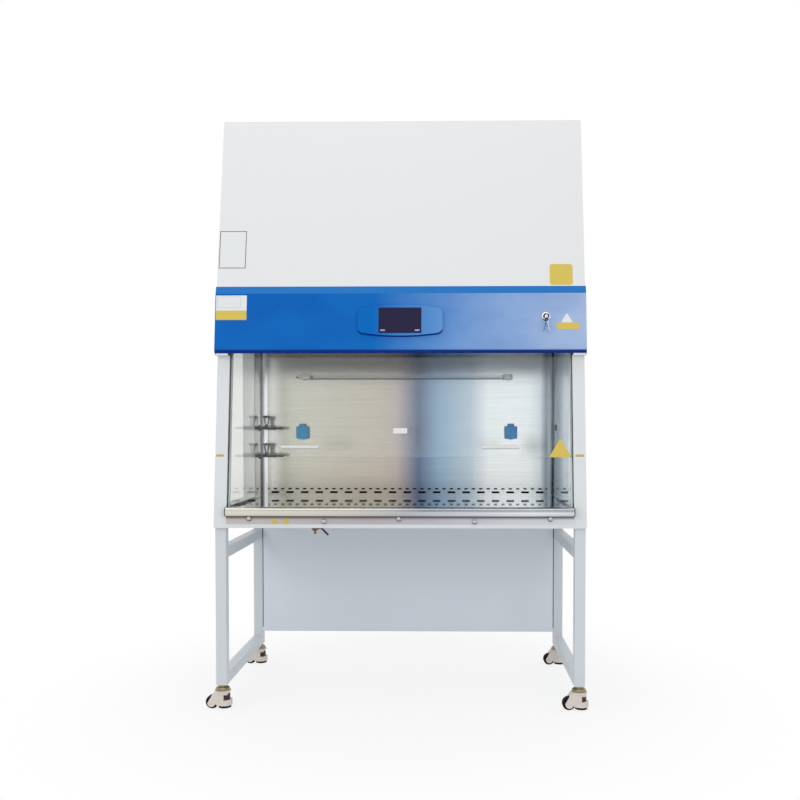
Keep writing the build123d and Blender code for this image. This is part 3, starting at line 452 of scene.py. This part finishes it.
def baffle_steel():
    """Back wall of the chamber: painted reflections in vertical bands of tone, and painted shade a
    little darker near the trays.
    """
    look = brushed("baffle_steel", STEEL_BACK, (3, 3, 260), 0.2)
    tone = base_colour(look)
    # painted shade towards the trays
    shade = look.ramp(look.place(2), 0.86, 1.34, [(0.86, (246, 244, 242)), (1.0, WHITE)])
    look.colour(look.mix(0.9, tone, shade, "MULTIPLY"))
    return look.material


# Painted reflection on the trays' steel, across the cabinet
GREY_RUN = [
    (-0.7, (172, 174, 172)),
    (-0.1, (166, 166, 162)),
    (0.15, (156, 158, 176)),
    (0.45, (242, 249, 254)),
    (0.7, (206, 214, 220)),
]

# Painted reflection along the armrest, across the cabinet
ARMREST_RUN = [
    (-0.66, (228, 225, 214)),
    (-0.2, (216, 211, 199)),
    (0.02, (192, 193, 199)),
    (0.2, (208, 213, 222)),
    (0.5, (233, 237, 240)),
    (0.66, (216, 221, 224)),
]

# Painted reflection on the skirt, across the cabinet
SKIRT_RUN = [
    (-0.65, (204, 197, 191)),
    (-0.1, (190, 182, 186)),
    (0.1, (194, 192, 202)),
    (0.4, (214, 213, 220)),
    (0.65, (217, 222, 227)),
]

MATERIALS = {
    "body_white": body_paint(),
    "head_white": coat("head_white", (229, 230, 230)).material,
    "base_white": coat("base_white", (224, 227, 230)).material,
    "skirt_grey": skirt_paint(),
    "diffuser_white": coat("diffuser_white", (215, 217, 218)).material,
    "stand_paint": coat("stand_paint", (212, 218, 222)).material,
    "stand_panel_paint": coat("stand_panel_paint", (224, 230, 238)).material,
    "control_blue": control_blue(),
    "bezel_blue": bezel_blue(),
    "screen_dark": Look("screen_dark", (40, 36, 66), 0.12, Specular_IOR_Level=0.1).material,
    "switch_chrome": lock_chrome(),
    "key_metal": key_steel(),
    # screws: painted reflection, dark on their undersides and bright on top
    "screw_metal": chrome("screw_metal", (84, 80, 80), (228, 228, 232), 0.3).material,
    "armrest_steel": armrest_steel(),
    "chamber_steel": brushed("chamber_steel", GREY_RUN, (3, 200, 200), 0.06).material,
    "baffle_steel": baffle_steel(),
    "liner_pale": Look("liner_pale", (238, 241, 241), 0.5).material,
    "rail_aluminium": Look("rail_aluminium", (196, 199, 202), 0.35, metallic=1.0).material,
    "plenum_steel": Look("plenum_steel", (178, 182, 184), 0.4, metallic=1.0).material,
    "fan_aluminium": Look("fan_aluminium", (190, 194, 198), 0.35, metallic=1.0).material,
    "filter_paper": Look("filter_paper", (232, 232, 228), 0.9).material,
    "side_glass": side_glass(),
    "sash_glass": glass("sash_glass", (254, 255, 255)).material,
    "glass_edge": Look("glass_edge", (222, 234, 232), 0.3).material,
    "lamp_glass": lamp_glass(),
    "handle_white": Look("handle_white", (226, 224, 219), 0.35).material,
    "holder_white": Look("holder_white", (246, 246, 238), 0.4).material,
    "socket_blue": Look("socket_blue", (52, 96, 150), 0.4).material,
    "lid_blue": lid_paint(),
    # gas cocks: painted reflection, mostly dark with a bright top
    "cock_chrome": chrome("cock_chrome", (14, 12, 12), (250, 246, 240), 0.16, 0.1, 0.8).material,
    "knob_metal": knob_chrome(),
    "valve_brass": Look("valve_brass", (150, 104, 62), 0.35, metallic=1.0).material,
    "lever_maroon": Look("lever_maroon", (80, 38, 28), 0.4).material,
    "stem_zinc": Look("stem_zinc", (150, 140, 112), 0.35, metallic=1.0).material,
    "caster_ivory": Look("caster_ivory", (226, 216, 206), 0.5).material,
    "wheel_black": Look("wheel_black", (16, 15, 17), 0.6, Specular_IOR_Level=0.2).material,
    "dial_maroon": Look("dial_maroon", (62, 26, 26), 0.45).material,
    "foot_black": Look("foot_black", (18, 17, 18), 0.6, Specular_IOR_Level=0.2).material,
    "plate_white": Look("plate_white", (228, 230, 231), 0.4).material,
    "plate_yellow": Look("plate_yellow", (214, 190, 84), 0.4).material,
    "plate_dark": Look("plate_dark", (42, 44, 66), 0.4).material,
    "plate_grey": Look("plate_grey", (196, 198, 200), 0.4).material,
    "mark_lilac": Look("mark_lilac", (176, 160, 214), 0.3).material,
    "hole_dark": Look("hole_dark", (30, 30, 32), 0.8).material,
    # grey for the painted shade of the panel's gaps, and the wall plug's own colour
    "gap_shade_and_plug_grey": Look("gap_shade_and_plug_grey", (92, 94, 100), 0.6).material,
}

for entry in frame["record"]["subparts"]:
    data = NODES[entry["node"]].data
    data.materials.clear()
    data.materials.append(MATERIALS[entry["material_slot"]])

# The panes' cut edges get a pale opaque material, a painted highlight in place of the light through
# their glass; the faces of the liners behind the panes are paler
for pane, axis in (("side_windows", 0), ("sash_glass", 1)):
    data = NODES[pane].data
    data.materials.append(MATERIALS["glass_edge"])
    for polygon in data.polygons:
        polygon.material_index = int(abs(polygon.normal[axis]) < CUT_EDGE)

liners = NODES["side_liners"].data
liners.materials.append(MATERIALS["liner_pale"])
for polygon in liners.polygons:
    behind = abs(polygon.center[0]) > CHAMBER_HALF + PANE_BACK
    polygon.material_index = int(behind and abs(polygon.normal[0]) > CUT_EDGE)


# --------------------------------------------------------------------------
# Faces that carry plates
# --------------------------------------------------------------------------
class Wall:
    """Inner face of a side wall of the chamber; its points are given by (y, z)."""

    def __init__(self, side):
        self.side = side

    def point(self, y, z, out=0.0):
        return Vector((self.side * (CHAMBER_HALF - out), y, z))


class Face:
    """A plane that leans back about the X axis: given by one of its points and its lean."""

    def __init__(self, y, z, lean):
        self.y, self.z, self.lean = y, z, lean
        self.normal = Vector((0, -math.cos(lean), math.sin(lean)))

    def point(self, x, z, out=0.0):
        return Vector((x, self.y + (z - self.z) * math.tan(self.lean), z)) + self.normal * out


def pillar_plane(reach):
    return Face(BODY_FRONT - reach, UNDERSIDE, FRONT_LEAN)


PILLARS = pillar_plane(0.0)
CONTROL = pillar_plane(CONTROL_REACH)
SASH = pillar_plane(-SASH_SETBACK / math.cos(FRONT_LEAN))
UPPER_Y = CONTROL.point(0, CONTROL_TOP).y + CONTROL_REACH - HEAD_REACH
UPPER = Face(UPPER_Y, CONTROL_TOP, UPPER_LEAN)
SKIRT = Face(BODY_FRONT - SHEET, UNDERSIDE, 0.0)
BAFFLE = Face(BAFFLE_Y, UNDERSIDE, 0.0)
PANEL = Face(PANEL_Y, UNDERSIDE, 0.0)


def rounded(corners, radius, steps=5):
    """Polygon with its corners rounded, as a list of (x, z)."""
    points = []
    for i, corner in enumerate(corners):
        here = Vector(corner)
        before = (Vector(corners[i - 1]) - here).normalized()
        after = (Vector(corners[(i + 1) % len(corners)]) - here).normalized()
        half_angle = before.angle(after) / 2
        centre = here + (before + after).normalized() * radius / math.sin(half_angle)
        start = here + before * radius / math.tan(half_angle) - centre
        end = here + after * radius / math.tan(half_angle) - centre
        for step in range(steps + 1):
            points.append(centre + start.slerp(end, step / steps).normalized() * radius)
    return points


def rectangle(x, z, radius=0.001):
    return rounded([(x[0], z[0]), (x[1], z[0]), (x[1], z[1]), (x[0], z[1])], radius)


def plate(name, face, outline, material, slot, body="cabinet", height=PLATE, start=0.0):
    """Flat piece stuck on a face, of the outline given as (x, z)."""
    count = len(outline)
    low = [face.point(x, z, start) for x, z in outline]
    high = [face.point(x, z, start + height) for x, z in outline]
    sides = [(i, (i + 1) % count, count + (i + 1) % count, count + i) for i in range(count)]
    mesh = bpy.data.meshes.new(name)
    turn = 1 if (high[1] - high[0]).cross(high[2] - high[1]).dot(high[0] - low[0]) > 0 else -1
    faces = [tuple(range(count))[::-1], tuple(range(count, 2 * count)), *sides]
    mesh.from_pydata(low + high, [], [corners[::turn] for corners in faces])
    mesh.materials.append(MATERIALS[material])
    piece = bpy.data.objects.new(name, mesh)
    bpy.context.scene.collection.objects.link(piece)
    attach(piece, body)
    return piece


def frame_lines(name, face, x, z, width, material, slot, start):
    """Thin outline of a rectangle, as four strips."""
    strips = [
        ((x[0], x[1]), (z[0], z[0] + width)),
        ((x[0], x[1]), (z[1] - width, z[1])),
        ((x[0], x[0] + width), (z[0] + width, z[1] - width)),
        ((x[1] - width, x[1]), (z[0] + width, z[1] - width)),
    ]
    for index, (across, up) in enumerate(strips):
        strip = rectangle(across, up, width / 5)
        plate(f"{name}_{index}", face, strip, material, slot, height=PLATE / 2, start=start)


def bare_plates():
    """Plates where such a cabinet carries its notices, all left bare."""
    white, yellow, body = "plate_white", "plate_yellow", "body_white"
    square = rectangle((0.567, 0.654), (1.611, 1.692), 0.010)
    plate("upper_plate_yellow", UPPER, square, yellow, body)
    notice = rectangle((-0.697, -0.592), (1.678, 1.828))
    plate("upper_plate_left", UPPER, notice, white, body)
    x, z = (-0.6955, -0.5935), (1.6795, 1.8265)
    frame_lines("upper_plate_rim", UPPER, x, z, 0.0022, "plate_dark", body, PLATE)
    notice = rectangle((-0.700, -0.583), (1.514, 1.572))
    plate("control_plate_left", CONTROL, notice, white, body)
    x, z = (-0.696, -0.606), (1.524, 1.568)
    frame_lines("control_plate_rim", CONTROL, x, z, 0.0014, "plate_grey", body, PLATE)
    strip = rectangle((-0.700, -0.583), (1.478, 1.514))
    plate("control_strip_left", CONTROL, strip, yellow, body)
    triangle = rounded([(0.606, 1.466), (0.652, 1.466), (0.629, 1.503)], 0.003)
    plate("control_triangle_right", CONTROL, triangle, white, body)
    strip = rectangle((0.591, 0.675), (1.440, 1.466), 0.003)
    plate("control_strip_right", CONTROL, strip, yellow, body)
    corner = rounded([(0.562, 0.958), (0.648, 0.958), (0.605, 1.030)], 0.005)
    plate("sash_triangle", SASH, corner, yellow, "handle_white", body="sash")
    small = rectangle((-0.0265, 0.0265), (1.048, 1.068))
    plate("sash_plate", SASH, small, white, "handle_white", body="sash")
    for side, x in (("left", (-0.696, -0.667)), ("right", (0.661, 0.693))):
        mark, line = rectangle(x, (0.9635, 0.9695)), rectangle(x, (0.9615, 0.9633), 0.0003)
        plate(f"height_mark_{side}", PILLARS, mark, yellow, body)
        plate(f"height_line_{side}", PILLARS, line, "plate_dark", body)
    for index, x in enumerate((-0.4675, -0.426)):
        triangle = rounded([(x - 0.015, 0.709), (x + 0.015, 0.709), (x, 0.734)], 0.002)
        plate(f"skirt_triangle_{index}", SKIRT, triangle, yellow, "skirt_grey")


def small_details():
    """Marks, holes, seams and terminals too small for the solids; the holes and seams are dark
    plates of painted shade.
    """
    for index, x in enumerate(((-0.0745, -0.056), (0.056, 0.0745))):
        key = rectangle(x, (1.4328, 1.4382), 0.002)
        stand = {"height": PLATE / 3, "start": SCREEN_OUT}
        plate(f"screen_key_{index}", CONTROL, key, "mark_lilac", "screen_dark", **stand)
    for name, side in (("left", -1), ("right", 1)):
        # painted shade: dark plates in place of the jamb's holes
        hole = rounded([(0.129, 0.786), (0.139, 0.786), (0.139, 0.796), (0.129, 0.796)], 0.0045)
        plate(f"jamb_hole_shade_{name}", Wall(side), hole, "hole_dark", "chamber_steel", height=PLATE / 2)
        # painted shade: dark strips for the gaps between the stand's panel and its rear legs
        edges = sorted((side * 0.6545, side * 0.658))
        seam = rectangle(edges, (0.17, 0.685))
        plate(f"panel_gap_shade_{name}", PANEL, seam, "gap_shade_and_plug_grey", "stand_panel_paint")
    plug = rounded([(0.131, 1.060), (0.149, 1.060), (0.149, 1.086), (0.131, 1.086)], 0.008)
    plate("wall_plug", Wall(1), plug, "gap_shade_and_plug_grey", "chamber_steel", height=0.004)
    white, terminal = "holder_white", rectangle((-0.481, -0.465), (1.2905, 1.3015), 0.002)
    plate("lamp_terminal", BAFFLE, terminal, white, white, height=0.008, start=0.016)
    pins = rectangle((-0.492, -0.481), (1.2935, 1.2985), 0.001)
    plate("lamp_pins", BAFFLE, pins, "hole_dark", white, height=0.003, start=0.0185)


bare_plates()
small_details()

# --------------------------------------------------------------------------
# Studio: floor, world, lamps, camera
# --------------------------------------------------------------------------
FLOOR_HALF = 30.0
SHADOW_REACH = (0.6, 1.6)  # the floor's shadow fades out between these distances
FLOOR_WHITE = 0.8  # share of plain white in the floor close to the object
ROOM_COLOUR = (0.97, 0.985, 1.0, 1.0)
ROOM_STRENGTH = 0.72
SEEN = ("Is Camera Ray", "Is Glossy Ray", "Is Transmission Ray")


def seen_directly(tree):
    """1 for a ray that shows the background: seen, mirrored or through glass."""
    path = tree.nodes.new("ShaderNodeLightPath")
    total = path.outputs[SEEN[0]]
    for kind in SEEN[1:]:
        both = tree.nodes.new("ShaderNodeMath")
        both.operation = "MAXIMUM"
        tree.links.new(total, both.inputs[0])
        tree.links.new(path.outputs[kind], both.inputs[1])
        total = both.outputs[0]
    return total


def floor():
    """Pale floor that turns to plain white away from the object and keeps its shadow."""
    mesh = bpy.data.meshes.new("floor")
    h = FLOOR_HALF
    mesh.from_pydata([(-h, -h, 0), (h, -h, 0), (h, h, 0), (-h, h, 0)], [], [(0, 1, 2, 3)])
    look = Look("floor", (236, 236, 236), 0.9)
    tree = look.tree
    output = next(n for n in tree.nodes if n.type == "OUTPUT_MATERIAL")
    white = look.add("ShaderNodeEmission")
    white.inputs["Strength"].default_value = 1.0
    distance = look.add("ShaderNodeVectorMath", operation="LENGTH")
    look.link(look.add("ShaderNodeTexCoord").outputs["Object"], distance.inputs[0])
    far = look.mask(distance.outputs["Value"], *SHADOW_REACH)
    keep = look.add("ShaderNodeMapRange")
    keep.inputs["To Min"].default_value = FLOOR_WHITE
    look.link(far, keep.inputs["Value"])
    factor = look.add("ShaderNodeMath", operation="MULTIPLY")
    look.link(keep.outputs[0], factor.inputs[0])
    look.link(seen_directly(tree), factor.inputs[1])
    mixed = look.add("ShaderNodeMixShader")
    look.link(factor.outputs[0], mixed.inputs[0])
    look.link(look.shader.outputs[0], mixed.inputs[1])
    look.link(white.outputs[0], mixed.inputs[2])
    look.link(mixed.outputs[0], output.inputs["Surface"])
    mesh.materials.append(look.material)
    piece = bpy.data.objects.new("floor", mesh)
    bpy.context.scene.collection.objects.link(piece)


def world():
    """White where it is seen, and a soft room light elsewhere."""
    room = bpy.data.worlds.new("studio")
    room.use_nodes = True
    tree = room.node_tree
    background = next(n for n in tree.nodes if n.type == "BACKGROUND")
    output = next(n for n in tree.nodes if n.type == "OUTPUT_WORLD")
    background.inputs["Color"].default_value = ROOM_COLOUR
    background.inputs["Strength"].default_value = ROOM_STRENGTH
    white = tree.nodes.new("ShaderNodeBackground")
    white.inputs["Color"].default_value = (1.0, 1.0, 1.0, 1.0)
    white.inputs["Strength"].default_value = 1.0
    mixed = tree.nodes.new("ShaderNodeMixShader")
    tree.links.new(seen_directly(tree), mixed.inputs[0])
    tree.links.new(background.outputs[0], mixed.inputs[1])
    tree.links.new(white.outputs[0], mixed.inputs[2])
    tree.links.new(mixed.outputs[0], output.inputs["Surface"])
    bpy.context.scene.world = room


def lamp(name, place, target, size, power, in_gloss=True):
    data = bpy.data.lights.new(name, "AREA")
    data.shape = "RECTANGLE"
    data.size, data.size_y = size
    data.energy = power
    piece = bpy.data.objects.new(name, data)
    piece.location = place
    piece.visible_glossy = piece.visible_transmission = in_gloss
    piece.rotation_euler = (Vector(target) - Vector(place)).to_track_quat("-Z", "Y").to_euler()
    bpy.context.scene.collection.objects.link(piece)


def camera():
    data = bpy.data.cameras.new("camera")
    data.sensor_fit = "HORIZONTAL"
    data.sensor_width = 36.0
    data.lens = CAMERA_LENS
    data.shift_x, data.shift_y = CAMERA_SHIFT
    piece = bpy.data.objects.new("camera", data)
    piece.location = CAMERA_PLACE
    piece.rotation_euler = CAMERA_TURN
    bpy.context.scene.collection.objects.link(piece)
    bpy.context.scene.camera = piece


floor()
world()
lamp("softbox_right", (1.1, -3.4, 1.9), (0.3, 0.0, 1.1), (1.3, 1.0), 16, in_gloss=False)
lamp("softbox_left", (-2.6, -2.6, 2.4), (0.0, 0.0, 1.2), (1.6, 1.6), 16, in_gloss=False)
lamp("softbox_top", (0.0, -0.6, 4.2), (0.0, 0.0, 0.0), (3.0, 2.0), 22)
camera()
bpy.context.scene.view_settings.view_transform = "Standard"
